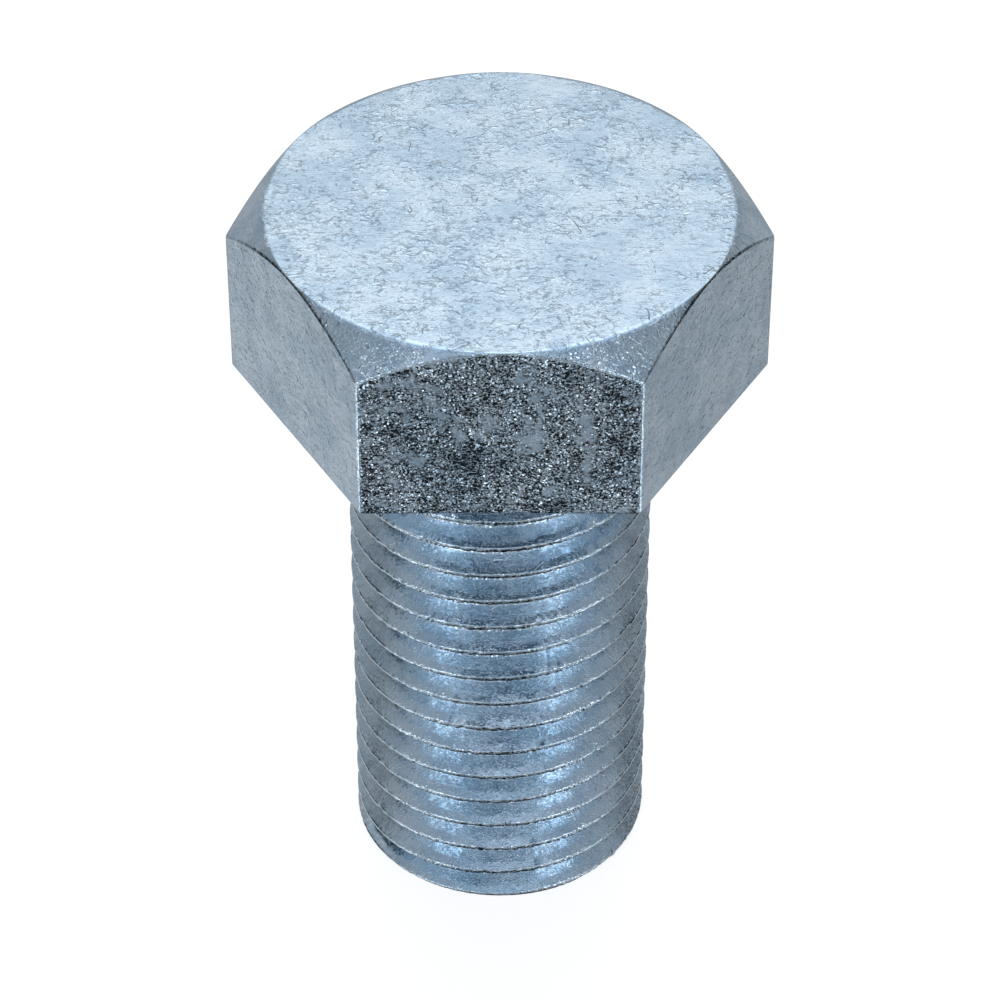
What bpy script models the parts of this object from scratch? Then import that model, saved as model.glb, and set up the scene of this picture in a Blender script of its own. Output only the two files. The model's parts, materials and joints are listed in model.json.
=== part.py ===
"""Hex bolt M36 x 4 x 70, thread up to the head, right-hand, made in one forging.

Frame: metres, +Z along the bolt's axis from the cut end of the shank up to the head.
The origin is the centre of the shank's end face, so the bolt stands on its end.
Two flats of the hexagon face -Y and +Y, and two of its corners point along -X and +X.
"""

from math import cos, pi, radians, sin, tan

import bmesh
import bpy
from mathutils import Vector

MM = 0.001

# Head, a hexagon with a turned chamfer round its top
ACROSS_FLATS = 53.85 * MM
HEAD_HEIGHT = 22.57 * MM
CHAMFER_ANGLE = radians(44)
TOP_DISC_RADIUS = 26.8 * MM

# Shank and thread, in the proportions of the ISO metric profile
SHANK_LENGTH = 69.2 * MM
CREST_RADIUS = 17.915 * MM
PITCH = 4.0 * MM
FLANK_ANGLE = radians(30)
CREST_FLAT = PITCH / 8
THREAD_DEPTH = 0.6134 * PITCH
PITCH_RADIUS = CREST_RADIUS - 0.32476 * PITCH
NECK_LENGTH = 4.0 * MM
RUN_OUT_LENGTH = PITCH
FIRST_CREST_Z = 0.17 * MM
FIRST_CREST_DIRECTION = -pi / 2

# Fillet where the neck meets the underside of the head
FILLET_RADIUS = 1.2 * MM
FILLET_STEPS = 3

# Fineness of the mesh
THREAD_SEGMENTS = 48
CHAMFER_SEGMENTS = 96

# How far one shape reaches into its neighbour before the two are joined
OVERLAP = 2.0 * MM

ZINC = (0.52, 0.60, 0.68, 1.0)


def clear_scene():
    for item in list(bpy.data.objects):
        bpy.data.objects.remove(item, do_unlink=True)


def new_object(name, bm):
    """Turns a bmesh into an object with its faces pointing outwards."""
    bmesh.ops.recalc_face_normals(bm, faces=bm.faces)
    mesh = bpy.data.meshes.new(name)
    bm.to_mesh(mesh)
    bm.free()
    item = bpy.data.objects.new(name, mesh)
    bpy.context.scene.collection.objects.link(item)
    return item


def polar(radius, angle, z):
    return Vector((radius * cos(angle), radius * sin(angle), z))


def prism(name, radius, sides, z_low, z_high):
    """A straight prism about the Z axis with one corner on +X."""
    bm = bmesh.new()
    ring = [bm.verts.new(polar(radius, 2 * pi * i / sides, z_low)) for i in range(sides)]
    base = bm.faces.new(ring)
    side = bmesh.ops.extrude_face_region(bm, geom=[base])
    top = [v for v in side["geom"] if isinstance(v, bmesh.types.BMVert)]
    bmesh.ops.translate(bm, verts=top, vec=(0, 0, z_high - z_low))
    return new_object(name, bm)


def lathe(name, profile, segments):
    """A turned solid: the profile is a list of (radius, z) from bottom to top, capped at both ends."""
    bm = bmesh.new()
    rings = [
        [bm.verts.new(polar(radius, 2 * pi * i / segments, z)) for i in range(segments)]
        for radius, z in profile
    ]
    for low, high in zip(rings, rings[1:]):
        for i in range(segments):
            j = (i + 1) % segments
            bm.faces.new((low[i], low[j], high[j], high[i]))
    bm.faces.new(rings[0])
    bm.faces.new(rings[-1])
    return new_object(name, bm)


def head_prism():
    corner_radius = ACROSS_FLATS / 2 / cos(pi / 6)
    return prism("hex_bolt", corner_radius, 6, SHANK_LENGTH, SHANK_LENGTH + HEAD_HEIGHT)


def chamfer_cone():
    """The turned envelope that rounds the top corners of the hexagon."""
    top = SHANK_LENGTH + HEAD_HEIGHT
    wide_radius = ACROSS_FLATS / 2 / cos(pi / 6) + OVERLAP
    drop = (wide_radius - TOP_DISC_RADIUS) * tan(CHAMFER_ANGLE)
    profile = [
        (wide_radius, SHANK_LENGTH - OVERLAP),
        (wide_radius, top - drop),
        (TOP_DISC_RADIUS - OVERLAP / tan(CHAMFER_ANGLE), top + OVERLAP),
    ]
    return lathe("chamfer_cone", profile, CHAMFER_SEGMENTS)


def fillet_collar():
    """The rounded corner between the neck and the bearing face, with its top inside the head."""
    centre_radius = PITCH_RADIUS + FILLET_RADIUS
    centre_z = SHANK_LENGTH - FILLET_RADIUS
    sunk = 0.25 * FILLET_RADIUS
    profile = [(PITCH_RADIUS - sunk, centre_z - sunk)]
    for step in range(1, FILLET_STEPS + 1):
        angle = pi / 2 * step / FILLET_STEPS
        profile.append((centre_radius - FILLET_RADIUS * cos(angle), centre_z + FILLET_RADIUS * sin(angle)))
    profile.append((centre_radius, SHANK_LENGTH + OVERLAP))
    return lathe("fillet_collar", profile, THREAD_SEGMENTS)


def thread_profile():
    """One pitch of the thread from the middle of a crest: (height above it, radius)."""
    half_crest = CREST_FLAT / 2
    flank_rise = THREAD_DEPTH * tan(FLANK_ANGLE)
    root_radius = CREST_RADIUS - THREAD_DEPTH
    return [
        (-half_crest, CREST_RADIUS),
        (half_crest, CREST_RADIUS),
        (half_crest + flank_rise, root_radius),
        (PITCH - half_crest - flank_rise, root_radius),
    ]


def thread_fullness(z):
    """1 where the thread has its whole depth, falling smoothly to 0 at the plain neck."""
    t = (SHANK_LENGTH - NECK_LENGTH - z) / RUN_OUT_LENGTH
    t = min(1.0, max(0.0, t))
    return t * t * (3 - 2 * t)


def levelling(below, rise):
    """How far a point is lifted where the lowest crest levels off along the square end. below counts
    pitches below the first crest, and rise is the point's height from the crest's middle."""
    if not 0 < below < 0.5:
        return 0.0
    fade = max(4 * below - 1, 0)
    keep = 1 - fade * fade * (3 - 2 * fade)
    share = min((PITCH / 2 - rise) / (PITCH / 2 - CREST_FLAT), 1)
    return PITCH * below * keep * max(share, 0)


def threaded_shank():
    """The shank as one helical skin, cut off square at both ends."""
    profile = thread_profile()
    step = len(profile)
    top = SHANK_LENGTH + 0.5 * OVERLAP
    turns = int(top / PITCH) + 5
    bm = bmesh.new()
    columns = []
    for j in range(THREAD_SEGMENTS):
        share = j / THREAD_SEGMENTS
        angle = FIRST_CREST_DIRECTION + 2 * pi * share
        column = []
        for i in range(step * turns):
            rise, radius = profile[i % step]
            z = FIRST_CREST_Z + rise + PITCH * (i // step - 2 + share)
            radius = PITCH_RADIUS + (radius - PITCH_RADIUS) * thread_fullness(z)
            z += levelling(2 - i // step - share, rise)
            column.append(bm.verts.new(polar(radius, angle, z)))
        columns.append(column)
    columns.append(columns[0][step:])
    for left, right in zip(columns, columns[1:]):
        for i in range(min(len(left), len(right)) - 1):
            bm.faces.new((left[i], right[i], right[i + 1], left[i + 1]))
    cut_square(bm, 0.0, -1)
    cut_square(bm, top, 1)
    return new_object("threaded_shank", bm)


def cut_square(bm, z, side):
    """Removes what lies beyond the plane at z (side 1: above, -1: below) and closes the cut."""
    cut = bmesh.ops.bisect_plane(
        bm,
        geom=bm.verts[:] + bm.edges[:] + bm.faces[:],
        dist=0.001 * MM,
        plane_co=(0, 0, z),
        plane_no=(0, 0, side),
        clear_outer=True,
    )
    rim = [e for e in cut["geom_cut"] if isinstance(e, bmesh.types.BMEdge) and e.is_boundary]
    bmesh.ops.contextual_create(bm, geom=rim)


def combine(target, other, operation):
    """Applies one exact Boolean to the target and removes the other shape."""
    modifier = target.modifiers.new(operation.lower(), "BOOLEAN")
    modifier.operation = operation
    modifier.solver = "EXACT"
    modifier.object = other
    depsgraph = bpy.context.evaluated_depsgraph_get()
    mesh = bpy.data.meshes.new_from_object(target.evaluated_get(depsgraph))
    target.modifiers.clear()
    target.data = mesh
    bpy.data.objects.remove(other, do_unlink=True)


def zinc_plated_steel():
    material = bpy.data.materials.new("zinc_plated_steel")
    material.use_nodes = True
    shader = material.node_tree.nodes["Principled BSDF"]
    shader.inputs["Base Color"].default_value = ZINC
    shader.inputs["Metallic"].default_value = 1.0
    shader.inputs["Roughness"].default_value = 0.35
    return material


def hex_bolt():
    """Head, neck and threaded shank joined into the one piece of steel that a bolt is."""
    bolt = head_prism()
    combine(bolt, chamfer_cone(), "INTERSECT")
    combine(bolt, threaded_shank(), "UNION")
    combine(bolt, fillet_collar(), "UNION")
    bolt.data.name = "hex_bolt"
    bolt.data.materials.clear()
    bolt.data.materials.append(zinc_plated_steel())
    bolt.data.shade_smooth()
    bolt.data.set_sharp_from_angle(angle=radians(25))
    return bolt


clear_scene()
hex_bolt()
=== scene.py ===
"""The hex bolt's looks: one high-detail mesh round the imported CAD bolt, in zinc-plated steel."""

import json
from math import atan2, cos, pi, radians, sin, sqrt, tan

import bmesh
import bpy
import numpy as np
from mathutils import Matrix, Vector


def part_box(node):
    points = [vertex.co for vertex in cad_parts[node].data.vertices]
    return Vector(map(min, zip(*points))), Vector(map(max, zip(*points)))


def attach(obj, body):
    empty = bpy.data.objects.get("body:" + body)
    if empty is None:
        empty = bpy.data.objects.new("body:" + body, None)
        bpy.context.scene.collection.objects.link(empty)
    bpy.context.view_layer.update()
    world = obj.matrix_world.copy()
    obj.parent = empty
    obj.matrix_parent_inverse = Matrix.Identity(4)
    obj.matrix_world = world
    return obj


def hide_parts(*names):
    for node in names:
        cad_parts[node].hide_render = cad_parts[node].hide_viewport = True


MM = 0.001
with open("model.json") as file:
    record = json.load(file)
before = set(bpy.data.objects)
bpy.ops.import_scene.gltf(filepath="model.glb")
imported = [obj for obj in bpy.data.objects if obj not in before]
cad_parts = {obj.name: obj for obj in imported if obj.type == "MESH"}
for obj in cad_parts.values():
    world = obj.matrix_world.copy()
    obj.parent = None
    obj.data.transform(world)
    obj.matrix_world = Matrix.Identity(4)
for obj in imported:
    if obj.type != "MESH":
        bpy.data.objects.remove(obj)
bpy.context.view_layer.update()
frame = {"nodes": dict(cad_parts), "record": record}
low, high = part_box("hex_bolt")
mounts = {m["name"]: m for m in frame["record"]["mounts"]}

# Sizes of the CAD bolt, read from the frame
END_Z = low.z
TOP_Z = mounts["head_top"]["pos_m"][2]
BEARING_Z = mounts["bearing_face"]["pos_m"][2]
HALF_FLATS = (high.y - low.y) / 2
ACROSS_FLATS = 2 * HALF_FLATS
CAD_POINTS = np.array([v.co for v in frame["nodes"]["hex_bolt"].data.vertices])
CREST_RADIUS = float(np.hypot(*CAD_POINTS[CAD_POINTS[:, 2] < BEARING_Z / 2][:, :2].T).max())

# The thread's form, as in the CAD bolt, with the rolled thread's round root
PITCH = 4.0 * MM
CREST_FLAT = PITCH / 8
THREAD_DEPTH = 0.6134 * PITCH
ROOT_ROUNDING = PITCH * sqrt(3) / 12
PITCH_RADIUS = CREST_RADIUS - 0.32476 * PITCH
NECK_LENGTH = 4.0 * MM
RUN_OUT_LENGTH = PITCH
FIRST_CREST_Z = 0.17 * MM
FIRST_CREST_DIRECTION = -pi / 2
END_ROUNDING = 0.22 * MM
CREST_ROUNDING = 0.32 * MM
CREST_LOWER_BEVEL = 0.03 * MM
DENT_DEPTH = 0.05 * MM
BURR_HEIGHT = 0.06 * MM
COLUMNS_PER_DENT_GROUP = 12

# The head's form
CHAMFER_ANGLE = radians(44)
TOP_DISC_RADIUS = 26.8 * MM
FILLET_RADIUS = 1.2 * MM
CORNER_ROUNDING = 0.45 * MM
UNDERSIDE_ROUNDING = 0.3 * MM
SHOULDER_ROUNDING = 0.5 * MM
RIM_ROUNDING = 1.4 * MM
FILLET_STEPS = 6
# A rounding never takes more than this share of the straight run beside it
ROUNDING_SHARE = 0.45

COLUMNS_PER_FLAT = 66
CORNER_CROWDING = 0.7
# Points nearer than this to the plane of a cut are taken as lying on it
CUT_TOLERANCE = 0.004 * MM


# ---------------------------------------------------------------- mesh

def column_angles():
    """Angles of the mesh's columns round the axis, closer together near the six corners."""
    share = np.arange(COLUMNS_PER_FLAT) / COLUMNS_PER_FLAT
    sector = share - CORNER_CROWDING * np.sin(2 * pi * share) / (2 * pi)
    return np.concatenate([(i + sector) * pi / 3 for i in range(6)])


def hexagon_radius(angle):
    """Distance from the axis to the head's side at an angle, with rounded corners."""
    off_flat = (angle % (pi / 3)) - pi / 6
    inner = HALF_FLATS - CORNER_ROUNDING
    tangent = atan2(inner * tan(pi / 6), HALF_FLATS)
    if abs(off_flat) <= tangent:
        return HALF_FLATS / cos(off_flat)
    centre = inner / cos(pi / 6)
    off_corner = pi / 6 - abs(off_flat)
    return centre * cos(off_corner) + sqrt(CORNER_ROUNDING**2 - (centre * sin(off_corner)) ** 2)


def corner_mark(angle, radius):
    """1 on the rounding of one of the head's six upright corners, else 0."""
    off_flat = (angle % (pi / 3)) - pi / 6
    tangent = atan2((HALF_FLATS - CORNER_ROUNDING) * tan(pi / 6), HALF_FLATS)
    outermost = 0.98 * hexagon_radius(angle)
    return float(abs(off_flat) > tangent and radius > outermost)


def rounded(points, roundings, steps, marks):
    """Replaces each inner corner by a bend of its rounding, as far as its sides allow. A third number
    is the corner's edge mark inside its bend and 0 elsewhere."""
    points = [(*p, 0) for p in points]
    result = [points[0]]
    for i in range(1, len(points) - 1):
        here = Vector(points[i])
        back, on = Vector(points[i - 1]) - here, Vector(points[i + 1]) - here
        turn = pi - back.angle(on)
        reach = roundings[i - 1] * tan(turn / 2)
        reach = min(reach, ROUNDING_SHARE * back.length, ROUNDING_SHARE * on.length)
        start, end = here + back.normalized() * reach, here + on.normalized() * reach
        for k in range(steps[i - 1] + 1):
            t = k / steps[i - 1]
            point = (1 - t) ** 2 * start + 2 * t * (1 - t) * here + t * t * end
            result.append((point.x, point.y, marks[i - 1] if 0 < t < 1 else 0))
    result.append(points[-1])
    return result


def spaced(start, end, count):
    """Points between two points, without the first and with the last."""
    return [tuple(Vector(start).lerp(Vector(end), (k + 1) / count)) for k in range(count)]


def head_profile(angle):
    """(radius, z, edge mark) from the neck out under the head, up its side and over to the top face."""
    side = hexagon_radius(angle)
    shoulder_z = TOP_Z - (side - TOP_DISC_RADIUS) * tan(CHAMFER_ANGLE)
    fillet = []
    for k in range(FILLET_STEPS + 1):
        turn = pi / 2 * k / FILLET_STEPS
        outward, below = FILLET_RADIUS * (1 - cos(turn)), FILLET_RADIUS * (1 - sin(turn))
        fillet.append((PITCH_RADIUS + outward, BEARING_Z - below, 0))
    rim, inner_top = (TOP_DISC_RADIUS, TOP_Z), (0.9 * TOP_DISC_RADIUS, TOP_Z)
    outline = rounded(
        [fillet[-1][:2], (side, BEARING_Z), (side, shoulder_z), rim, inner_top],
        [UNDERSIDE_ROUNDING, SHOULDER_ROUNDING, RIM_ROUNDING],
        [3, 4, 5],
        [1, 1, 0],
    )
    # The straight runs under the head, up its side and over its chamfer are divided
    inward = outline[:1] + spaced(outline[0], outline[1], 2) + outline[2:5]
    side_run = spaced(outline[4], outline[5], 3) + outline[6:10]
    top_run = spaced(outline[9], outline[10], 3) + outline[11:]
    return fillet[:-1] + inward + side_run + top_run


def thread_profile():
    """One pitch of the thread from below a crest, as (height, radius, edge mark)."""
    half, root_radius = CREST_FLAT / 2, CREST_RADIUS - THREAD_DEPTH
    root_half = ROOT_ROUNDING * cos(pi / 6)
    root_edge = root_radius + ROOT_ROUNDING / 2
    flank = PITCH / 2 - root_half - half
    below = CREST_LOWER_BEVEL
    start = half - CREST_ROUNDING * tan(pi / 6)
    crest = [
        (start + CREST_ROUNDING * sin(turn), CREST_RADIUS - CREST_ROUNDING * (1 - cos(turn)), mark)
        for turn, mark in ((0, 1), (pi / 9, 1), (2 * pi / 9, 0.7), (pi / 3, 0))
    ]
    near_root = root_radius + ROOT_ROUNDING * (1 - sqrt(1 - 0.75 / 4))
    upper_middle, lower_middle = 0.55 * flank, 0.5 * flank
    return [
        (-half - below, CREST_RADIUS - below / tan(pi / 6), 1),
        (-half + below, CREST_RADIUS, 1),
        *crest,
        (half + upper_middle, CREST_RADIUS - upper_middle / tan(pi / 6), 0),
        (PITCH / 2 - root_half, root_edge, 0),
        (PITCH / 2 - 0.5 * root_half, near_root, 0),
        (PITCH / 2 + 0.5 * root_half, near_root, 0),
        (PITCH / 2 + root_half, root_edge, 0),
        (PITCH - half - lower_middle, CREST_RADIUS - lower_middle / tan(pi / 6), 0),
    ]


def thread_fullness(z):
    """1 where the thread has its whole depth, falling smoothly to 0 at the plain neck."""
    t = np.clip((BEARING_Z - NECK_LENGTH - z) / RUN_OUT_LENGTH, 0, 1)
    return t * t * (3 - 2 * t)


def levelling(below, heights):
    """How far points are lifted where the lowest crest levels off along the square end. below counts
    pitches below the first crest, and heights are from the crest's middle. The lift is whole for a
    quarter turn, fades out over the next one, and is less down the upper flank."""
    fade = np.clip((below - 0.25) / 0.25, 0, 1)
    keep = np.where((below > 0) & (below < 0.5), 1 - fade * fade * (3 - 2 * fade), 0)
    share = np.clip((PITCH / 2 - heights) / (PITCH / 2 - CREST_FLAT), 0, 1)
    return PITCH * below * keep * share


def crest_wear(marks, turns, count):
    """Small dents and burrs along the crests: how far each point moves in and up, rows by columns.
    The crest's lower and upper corners move up or down apart from each other."""
    draw = np.random.default_rng(36)
    shape = (turns, 1, count)
    groups = (turns, 1, count // COLUMNS_PER_DENT_GROUP)
    battered = np.repeat(draw.uniform(0.2, 1.5, groups), COLUMNS_PER_DENT_GROUP, 2)
    edge = np.array(marks)[None, :, None]
    inward = DENT_DEPTH * battered * np.clip(draw.normal(0, 1, shape), 0, 2.5) * edge
    lower_burrs, upper_burrs = draw.normal(0, 1, shape), draw.normal(0, 1, shape)
    lower = np.arange(len(marks))[None, :, None] < 2
    upward = BURR_HEIGHT * battered * np.where(lower, lower_burrs, upper_burrs) * edge
    return inward.reshape(-1, count), upward.reshape(-1, count)


def thread_points(angles):
    """Points of the helical skin, an array of rows by columns by (x, y, z), each row's edge mark, and
    the number of rows in one pitch."""
    heights, radii, marks = np.array(thread_profile()).T
    share = ((angles - FIRST_CREST_DIRECTION) / (2 * pi))[None, :]
    turns = int((BEARING_Z - END_Z) / PITCH) + 3
    rise = (heights[None, :] + PITCH * (np.arange(turns)[:, None] - 2)).ravel()[:, None]
    inward, upward = crest_wear(marks, turns, len(angles))
    radius = np.tile(radii, turns)[:, None] - inward
    z = END_Z + FIRST_CREST_Z + rise + PITCH * share
    radius = PITCH_RADIUS + (radius - PITCH_RADIUS) * thread_fullness(z)
    z = z + upward * thread_fullness(z)
    below = 2 - np.arange(turns)[:, None, None] - share[None]
    z = z + levelling(below, heights[None, :, None]).reshape(-1, len(angles))
    points = np.stack([radius * np.cos(angles), radius * np.sin(angles), z], -1)
    return points, np.tile(marks, turns), len(marks)


def bolt_mesh():
    """Head and thread as one closed skin. After one turn a row of the thread goes on as the row that is
    one pitch higher, so the head joins the thread along a row's turn and the short seam between them."""
    angles = column_angles()
    count = len(angles)
    points, marks, step = thread_points(angles)
    plain_z = BEARING_Z - NECK_LENGTH
    last = next(i for i in range(len(points)) if points[i, 0, 2] > plain_z)
    rows = last + step + 1
    bm = bmesh.new()
    edge = bm.verts.layers.float.new("edge")
    grid = [[None] * count for _ in range(rows)]
    for i in range(rows):
        for j in range(count if i <= last else 1):
            grid[i][j] = bm.verts.new(points[i, j])
            grid[i][j][edge] = marks[i]

    def at(i, j):
        return grid[i][j] if j < count else grid[i + step][0]

    for i in range(last):
        for j in range(count):
            bm.faces.new((at(i, j), at(i, j + 1), at(i + 1, j + 1), at(i + 1, j)))

    profiles = [head_profile(a) for a in angles]
    rings = []
    for k in range(len(profiles[0])):
        ring = []
        for a, profile in zip(angles, profiles):
            radius, z, mark = profile[k]
            vert = bm.verts.new((radius * cos(a), radius * sin(a), z))
            vert[edge] = max(mark, corner_mark(a, radius))
            ring.append(vert)
        rings.append(ring)
    seam = [grid[i][0] for i in range(last + step, last, -1)]
    for j in range(count):
        k = (j + 1) % count
        chain = seam if j == 0 else []
        bm.faces.new([at(last, j), at(last, j + 1), rings[0][k], rings[0][j]] + chain)
    for lower, upper in zip(rings, rings[1:]):
        for j in range(count):
            k = (j + 1) % count
            bm.faces.new((lower[j], lower[k], upper[k], upper[j]))
    bm.faces.new(rings[-1])
    cut_end(bm)
    return bm


def cut_end(bm):
    """Cuts the shank off square and closes it with a small rounded rim and a flat end."""
    cut = bmesh.ops.bisect_plane(
        bm,
        geom=bm.verts[:] + bm.edges[:] + bm.faces[:],
        dist=CUT_TOLERANCE,
        plane_co=(0, 0, END_Z + END_ROUNDING),
        plane_no=(0, 0, -1),
        clear_outer=True,
    )
    rim = [e for e in cut["geom_cut"] if isinstance(e, bmesh.types.BMEdge) and e.is_boundary]
    inward = END_ROUNDING * (1 - cos(pi / 4)), END_ROUNDING * cos(pi / 4)
    above_end = END_ROUNDING * (1 - sin(pi / 4)), 0
    for step_in, height in zip(inward, above_end):
        grown = bmesh.ops.extrude_edge_only(bm, edges=rim)
        rim = [e for e in grown["geom"] if isinstance(e, bmesh.types.BMEdge) and e.is_boundary]
        for v in {v for e in rim for v in e.verts}:
            v.co.xy *= 1 - step_in / v.co.xy.length
            v.co.z = END_Z + height
    bmesh.ops.contextual_create(bm, geom=rim)


def build_bolt():
    """The bolt as one smooth-shaded object."""
    bm = bolt_mesh()
    bmesh.ops.recalc_face_normals(bm, faces=bm.faces)
    mesh = bpy.data.meshes.new("zinc_hex_bolt")
    bm.to_mesh(mesh)
    bm.free()
    mesh.shade_smooth()
    bolt = bpy.data.objects.new("zinc_hex_bolt", mesh)
    bpy.context.scene.collection.objects.link(bolt)
    weighted = bolt.modifiers.new("weighted_normals", "WEIGHTED_NORMAL")
    weighted.mode = "FACE_AREA"
    weighted.weight = 70
    return bolt


# ---------------------------------------------------------------- material

# Zinc plating. Its noises, cells and lines are sized in millimetres
FACETS_PER_MM = 5.5
FACET_TILT = 0.94
RELIEF_DEPTH = 0.032 * MM
GLOSSY_ROUGHNESS = 0.12
DULL_ROUGHNESS = 0.60
DULL_ZINC = (0.52, 0.69, 0.85, 1)
BRIGHT_ZINC = (0.66, 0.82, 0.97, 1)


class Nodes:
    """Short ways to add shader nodes to one tree."""

    def __init__(self, tree):
        self.tree = tree

    def add(self, kind, inputs=None, output=0, **settings):
        """A node of that kind, its settings and its inputs, which are values or other nodes' outputs."""
        node = self.tree.nodes.new(kind)
        for name, value in settings.items():
            setattr(node, name, value)
        for name, value in (inputs or {}).items():
            if isinstance(value, bpy.types.NodeSocket):
                self.tree.links.new(value, node.inputs[name])
            else:
                node.inputs[name].default_value = value
        return node.outputs[output]

    def math(self, operation, *values):
        return self.add("ShaderNodeMath", dict(enumerate(values)), operation=operation)

    def stretched(self, place, scale, turn=(0, 0, 0)):
        """Coordinates turned and then scaled."""
        return self.add("ShaderNodeMapping", {"Vector": place, "Rotation": turn, "Scale": scale})

    def noise(self, place, scale, detail=2.0, roughness=0.5, distortion=0.0):
        inputs = {"Vector": place, "Scale": scale, "Detail": detail, "Roughness": roughness}
        return self.add("ShaderNodeTexNoise", {**inputs, "Distortion": distortion})

    def ramp(self, value, start, end, low=0.0, high=1.0):
        """low up to start and high from end on, with a smooth step between."""
        inputs = {"Value": value, "From Min": start, "From Max": end, "To Min": low, "To Max": high}
        return self.add("ShaderNodeMapRange", inputs, interpolation_type="SMOOTHSTEP")


def scratches(nodes, place, turn, length, spacing, share):
    """Thin straight hairlines in one direction, each fading out at its ends: 1 on a line, else 0."""
    along = nodes.stretched(place, (1 / length, 1 / spacing, 1 / spacing), turn)
    line = nodes.noise(along, 1.0, detail=1.0)
    return nodes.ramp(line, 1 - share, 1 - 0.6 * share)


def hairlines(nodes, place, size, width, cover):
    """Thin curved marks: the level lines of a slow noise, shown only in places."""
    field = nodes.noise(place, 1 / size, detail=1.5, distortion=0.4)
    off_line = nodes.math("ABSOLUTE", nodes.math("SUBTRACT", field, 0.5))
    line = nodes.ramp(off_line, 0.0, width, 1.0, 0.0)
    shown = nodes.ramp(nodes.noise(place, 2.3 / size, detail=2.0), 1 - cover, 1.05 - cover)
    return nodes.math("MULTIPLY", line, shown)


def facets(nodes, place):
    """Tiny zinc crystals: one random vector in each cell, short in most of them and long in a few."""
    cell = nodes.add("ShaderNodeTexVoronoi", {"Vector": place, "Scale": FACETS_PER_MM}, output=1)
    either = nodes.add("ShaderNodeVectorMath", {0: cell, 1: (0.5,) * 3}, operation="SUBTRACT")
    either = nodes.add("ShaderNodeVectorMath", {0: either, "Scale": 2.0}, operation="SCALE")
    square = nodes.add("ShaderNodeVectorMath", {0: either, 1: either}, operation="MULTIPLY")
    fourth = nodes.add("ShaderNodeVectorMath", {0: square, 1: square}, operation="MULTIPLY")
    return nodes.add("ShaderNodeVectorMath", {0: fourth, 1: either}, operation="MULTIPLY")


def grains(nodes, place, broad):
    """Small hard-edged grains, denser where the broad noise is high."""
    squeezed = nodes.stretched(place, (0.85, 1.0, 1.1))
    fine = nodes.noise(squeezed, 3.8, detail=1.6, roughness=0.75)
    more = nodes.math("MULTIPLY", nodes.math("SUBTRACT", broad, 0.5), 0.5)
    return nodes.ramp(nodes.math("ADD", fine, more), 0.55, 0.625)


def specks(nodes, place):
    """Round specks, at most one in each cell."""
    distance = nodes.add("ShaderNodeTexVoronoi", {"Vector": place, "Scale": 1.5}, feature="F1")
    return nodes.ramp(distance, 0.04, 0.15, 1.0, 0.0)


def crinkles(nodes, place):
    """Wide soft curved ridges of two sizes."""
    small, large = hairlines(nodes, place, 1.6, 0.10, 0.50), hairlines(nodes, place, 2.8, 0.07, 0.50)
    return nodes.math("ADD", small, large)


def wear_marks(nodes, place):
    """Thin curved lines and straight scratches in two directions."""
    curved = hairlines(nodes, place, 6.0, 0.006, 0.42)
    marks = nodes.math("MAXIMUM", curved, scratches(nodes, place, (0.0, 0.9, 0.0), 2.6, 0.13, 0.30))
    return nodes.math("MAXIMUM", marks, scratches(nodes, place, (0.0, 0.0, 0.5), 3.0, 0.16, 0.30))


def skin_height(nodes, place, broad, beside):
    """Height of the plating's relief. beside is 0 on the smoother top face and 1 elsewhere."""
    # Each relief with its amount on the top face and elsewhere
    reliefs = [
        (grains(nodes, place, broad), 0.22, 1.0),
        (crinkles(nodes, place), nodes.ramp(broad, 0.44, 0.57, 0.1, 1.25), 0.8),
        (specks(nodes, place), 0.6, 1.2),
        (nodes.noise(place, 0.8, detail=2.0, roughness=0.6), 0.8, 2.0),
    ]
    height = nodes.math("MULTIPLY", wear_marks(nodes, place), -1.9)
    for relief, on_top, elsewhere in reliefs:
        amount = nodes.ramp(beside, 0.0, 1.0, on_top, elsewhere)
        height = nodes.math("ADD", height, nodes.math("MULTIPLY", relief, amount))
    return height


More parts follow.
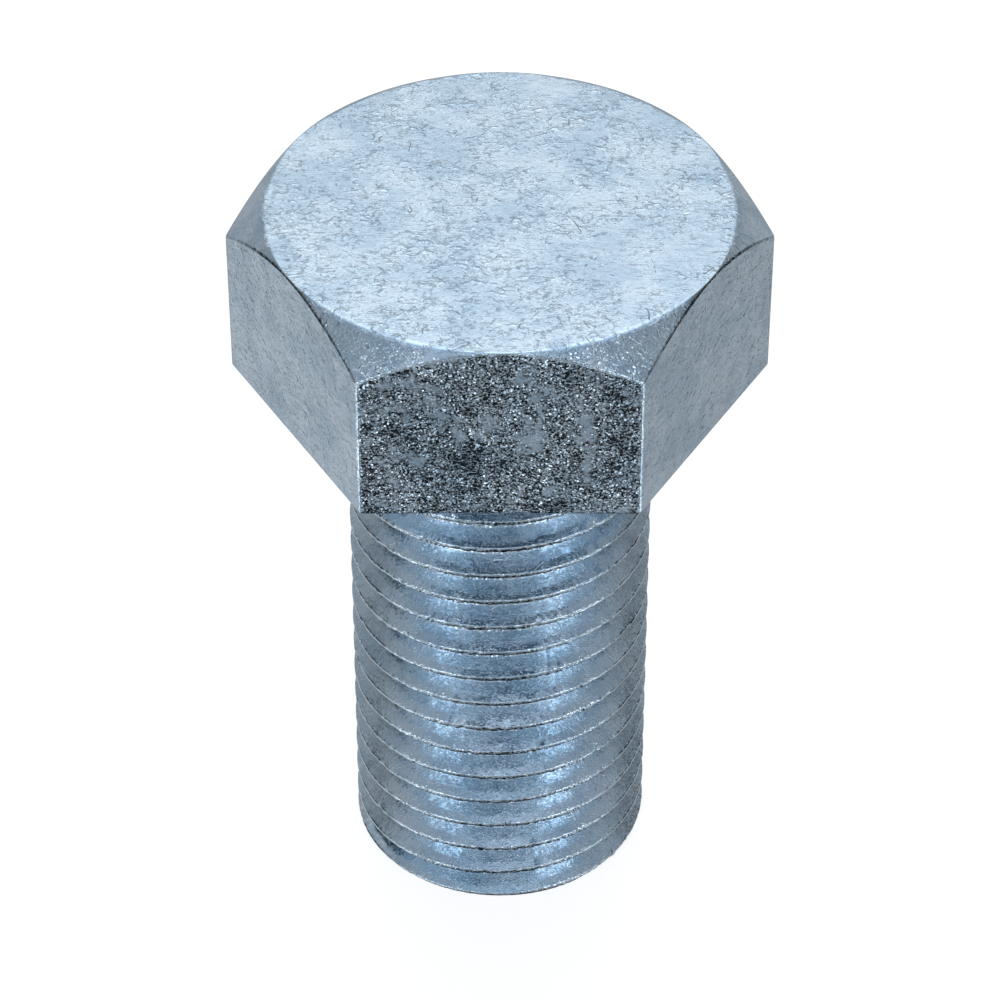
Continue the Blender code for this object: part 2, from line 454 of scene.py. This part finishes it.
def zinc():
    """Bright zinc plating: crinkled glossy skin with smoother, duller patches, specks and scratches.
    Surfaces that face along Y carry most of the crystals."""
    material = bpy.data.materials.new("zinc_plated_steel")
    material.use_nodes = True
    nodes = Nodes(material.node_tree)
    shader = material.node_tree.nodes["Principled BSDF"]
    metres = nodes.add("ShaderNodeTexCoord", output="Object")
    place = nodes.add("ShaderNodeVectorMath", {0: metres, "Scale": 1 / MM}, operation="SCALE")
    edge = nodes.add("ShaderNodeAttribute", output=2, attribute_name="edge")
    broad = nodes.noise(place, 0.19, detail=8.0, roughness=0.76, distortion=0.3)
    patch = nodes.ramp(broad, 0.50, 0.60)
    up = nodes.add("ShaderNodeSeparateXYZ", {0: metres}, output=2)
    beside = nodes.ramp(up, TOP_Z - 0.4 * MM, TOP_Z - 0.1 * MM, 1.0, 0.0)
    on_head = nodes.ramp(up, BEARING_Z - FILLET_RADIUS, BEARING_Z)

    on_face = nodes.ramp(on_head, 0.0, 1.0, 0.4, 1.0)
    on_edge = nodes.ramp(on_head, 0.0, 1.0, 0.8, 0.3)
    relief = nodes.add("ShaderNodeMix", {0: edge, 2: on_face, 3: on_edge}, data_type="FLOAT")
    height = nodes.math("MULTIPLY", skin_height(nodes, place, broad, beside), relief)
    bump = nodes.add("ShaderNodeBump", {"Height": height, "Strength": 1.0, "Distance": RELIEF_DEPTH})

    facing = nodes.add("ShaderNodeTexCoord", output="Normal")
    facing = nodes.math("ABSOLUTE", nodes.add("ShaderNodeSeparateXYZ", {0: facing}, output=1))
    rougher = nodes.ramp(facing, 0.5, 0.78, 0.1, 1.0)
    spread = nodes.ramp(patch, 0.0, 1.0, FACET_TILT, 0.3 * FACET_TILT)
    spread = nodes.math("MULTIPLY", spread, nodes.ramp(broad, 0.41, 0.50, 0.2, 1.0))
    spread = nodes.math("MULTIPLY", spread, rougher)
    spread = nodes.math("MULTIPLY", spread, nodes.ramp(edge, 0.0, 1.0, 1.0, 0.3))
    crystals = facets(nodes, place)
    tilted = nodes.add("ShaderNodeVectorMath", {0: crystals, "Scale": spread}, operation="SCALE")
    normal = nodes.add("ShaderNodeVectorMath", {0: bump, 1: tilted}, operation="ADD")
    normal = nodes.add("ShaderNodeVectorMath", {0: normal}, operation="NORMALIZE")
    material.node_tree.links.new(normal, shader.inputs["Normal"])

    duller = nodes.math("MULTIPLY", patch, nodes.ramp(on_head, 0.0, 1.0, 0.5, 1.0))
    duller = nodes.math("MULTIPLY", duller, nodes.ramp(rougher, 0.0, 1.0, 0.3, 1.0))
    duller = nodes.math("SUBTRACT", duller, edge)
    rough = nodes.ramp(duller, 0.0, 1.0, GLOSSY_ROUGHNESS, DULL_ROUGHNESS)
    material.node_tree.links.new(rough, shader.inputs["Roughness"])

    bright = nodes.ramp(nodes.noise(place, 0.14, detail=7.0, roughness=0.68), 0.38, 0.60)
    colours = {0: bright, 6: DULL_ZINC, 7: BRIGHT_ZINC}
    colour = nodes.add("ShaderNodeMix", colours, output=2, data_type="RGBA")
    material.node_tree.links.new(colour, shader.inputs["Base Color"])
    shader.inputs["Metallic"].default_value = 1
    return material


# ---------------------------------------------------------------- stage

BASE_LIGHT = 0.42
# Soft lights and black cards: a direction, the brightness that a light adds or the share of all light
# that a card takes away, and the angles from the direction in degrees where that fades and where it ends
SOFTBOXES = [
    ((0.0, 0.50, 0.86), 0.78, 5, 38),
    ((0.0, 0.52, 0.85), 0.35, 3, 15),
    ((0.0, -0.68, 0.73), 0.5, 8, 24),
    ((0.0, -0.17, 0.985), 0.09, 10, 26),
    ((0.62, -0.73, 0.29), 1.8, 6, 20),
    ((-0.66, -0.70, 0.27), 1.7, 6, 19),
    ((0.74, -0.25, -0.63), 1.2, 5, 15),
    ((-0.74, -0.25, -0.63), 1.2, 5, 15),
    ((-0.66, 0.38, -0.64), 0.13, 10, 40),
]
CARDS = [
    ((0.0, -0.72, -0.69), 0.96, 12, 34),
    ((0.0, -0.10, -0.99), 0.95, 20, 38),
    ((0.0, -0.95, 0.28), 0.6, 8, 22),
    ((0.96, 0.22, -0.12), 0.96, 14, 28),
    ((-0.96, 0.22, -0.12), 0.96, 14, 28),
    ((0.88, 0.27, -0.39), 0.8, 9, 16),
    ((-0.88, 0.27, -0.39), 0.8, 9, 16),
    ((0.86, 0.28, 0.42), 0.65, 8, 18),
    ((-0.86, 0.28, 0.42), 0.6, 8, 18),
    ((0.66, -0.05, 0.75), 0.24, 18, 40),
    ((-0.66, -0.05, 0.75), 0.17, 18, 40),
    ((0.68, 0.55, 0.48), 0.35, 8, 28),
    ((-0.68, 0.55, 0.48), 0.25, 8, 28),
]
# The light from overhead is a little bluer, fading out between these angles from its middle
ZENITH = (0.0, -0.20, 0.98)
ZENITH_ANGLES = 24, 52
ZENITH_TINT = (0.88, 1.0, 1.14)

FLOOR_GAP = 0.02 * MM
FLOOR_GREY = (0.5, 0.5, 0.5, 1)
FLOOR_GLOW = 0.78

# The camera's distance and how far below the bearing face it aims, both over the width across flats,
# its angle above the horizon in radians, and its focal length over the width of its sensor
CAMERA_DISTANCE = 9.1552
AIM_BELOW_HEAD = 0.3803
CAMERA_ELEVATION = 0.6977
FOCAL_RATIO = 4.14233
SENSOR_WIDTH = 36


def studio_world():
    """A grey studio all round, with soft lights and black cards as smooth patches of its sky."""
    world = bpy.data.worlds.new("studio")
    bpy.context.scene.world = world
    world.use_nodes = True
    nodes = Nodes(world.node_tree)
    towards = nodes.add("ShaderNodeTexCoord", output="Generated")

    def patch(direction, inner, outer):
        axis = Vector(direction).normalized()
        both = {0: towards, 1: axis}
        nearness = nodes.add("ShaderNodeVectorMath", both, output=1, operation="DOT_PRODUCT")
        return nodes.ramp(nearness, cos(radians(outer)), cos(radians(inner)))

    light = BASE_LIGHT
    for direction, strength, inner, outer in SOFTBOXES:
        lamp = nodes.math("MULTIPLY", patch(direction, inner, outer), strength)
        light = nodes.math("ADD", light, lamp)
    for direction, depth, inner, outer in CARDS:
        hole = nodes.math("MULTIPLY", patch(direction, inner, outer), depth)
        light = nodes.math("MULTIPLY", light, nodes.math("SUBTRACT", 1.0, hole))
    background = world.node_tree.nodes["Background"]
    world.node_tree.links.new(light, background.inputs["Strength"])
    colours = {0: patch(ZENITH, *ZENITH_ANGLES), 6: (1, 1, 1, 1), 7: (*ZENITH_TINT, 1)}
    tint = nodes.add("ShaderNodeMix", colours, output=2, data_type="RGBA")
    world.node_tree.links.new(tint, background.inputs["Color"])


def floor():
    """A plain pale floor just under the shank's end."""
    size = 40 * ACROSS_FLATS
    bm = bmesh.new()
    bmesh.ops.create_grid(bm, x_segments=4, y_segments=4, size=size)
    mesh = bpy.data.meshes.new("floor")
    bm.to_mesh(mesh)
    bm.free()
    plane = bpy.data.objects.new("floor", mesh)
    bpy.context.scene.collection.objects.link(plane)
    plane.location.z = END_Z - FLOOR_GAP
    material = bpy.data.materials.new("pale_floor")
    material.use_nodes = True
    shader = material.node_tree.nodes["Principled BSDF"]
    shader.inputs["Base Color"].default_value = FLOOR_GREY
    shader.inputs["Emission Color"].default_value = (1, 1, 1, 1)
    shader.inputs["Emission Strength"].default_value = FLOOR_GLOW
    mesh.materials.append(material)
    plane.visible_glossy = False


def camera():
    """A long lens looking down at the bolt from in front, 40 degrees above the horizon."""
    target = Vector((0, 0, BEARING_Z - AIM_BELOW_HEAD * ACROSS_FLATS))
    data = bpy.data.cameras.new("camera")
    data.sensor_width = SENSOR_WIDTH
    data.lens = FOCAL_RATIO * SENSOR_WIDTH
    cam = bpy.data.objects.new("camera", data)
    bpy.context.scene.collection.objects.link(cam)
    back = Vector((0, -cos(CAMERA_ELEVATION), sin(CAMERA_ELEVATION)))
    cam.location = target + back * CAMERA_DISTANCE * ACROSS_FLATS
    cam.rotation_euler = (-back).to_track_quat("-Z", "Y").to_euler()
    data.clip_start = 0.01
    data.clip_end = 100
    bpy.context.scene.camera = cam


bpy.context.scene.view_settings.view_transform = "Standard"
camera()
studio_world()
floor()
bolt = build_bolt()
bolt.data.materials.append(zinc())
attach(bolt, "root")
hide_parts("hex_bolt")
